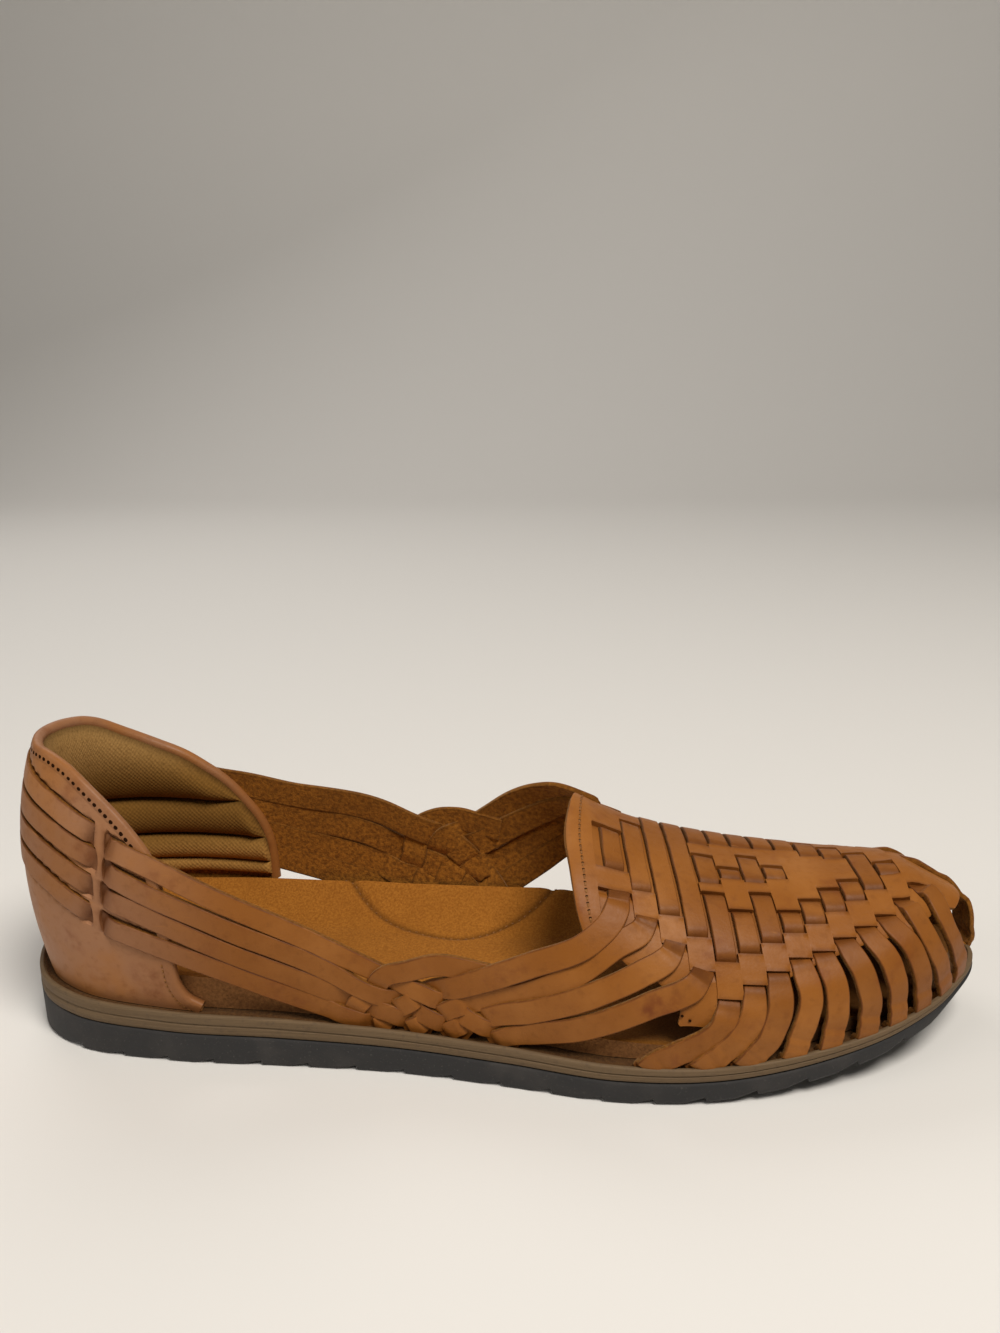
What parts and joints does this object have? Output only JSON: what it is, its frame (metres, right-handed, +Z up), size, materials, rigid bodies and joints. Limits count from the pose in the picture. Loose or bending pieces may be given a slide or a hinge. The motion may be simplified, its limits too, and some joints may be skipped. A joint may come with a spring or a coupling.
{
  "type": "woven leather flat",
  "caption": "Right slip-on flat with a woven leather vamp, braided side straps, closed heel counter and low wedge sole.",
  "frame": {"origin": "on the floor under the middle of the shoe's bounding box", "axes": "+X from heel to toe, +Y to the inner side of the foot, +Z up"},
  "size_m": [0.275, 0.0888, 0.0863],
  "materials": {
    "outsole_rubber": "matt dark rubber",
    "midsole_rubber": "matt taupe rubber",
    "insole_suede": "ochre suede",
    "upper_leather": "smooth tan leather with rough suede inside",
    "lining_cloth": "khaki quilted cloth",
    "binding_leather": "smooth tan leather"
  },
  "bodies": {
    "root": {"outsole": "outsole_rubber", "midsole": "midsole_rubber", "insole": "insole_suede", "upper": "upper_leather", "heel_lining": "lining_cloth", "collar_binding": "binding_leather"}
  },
  "joints": []
}
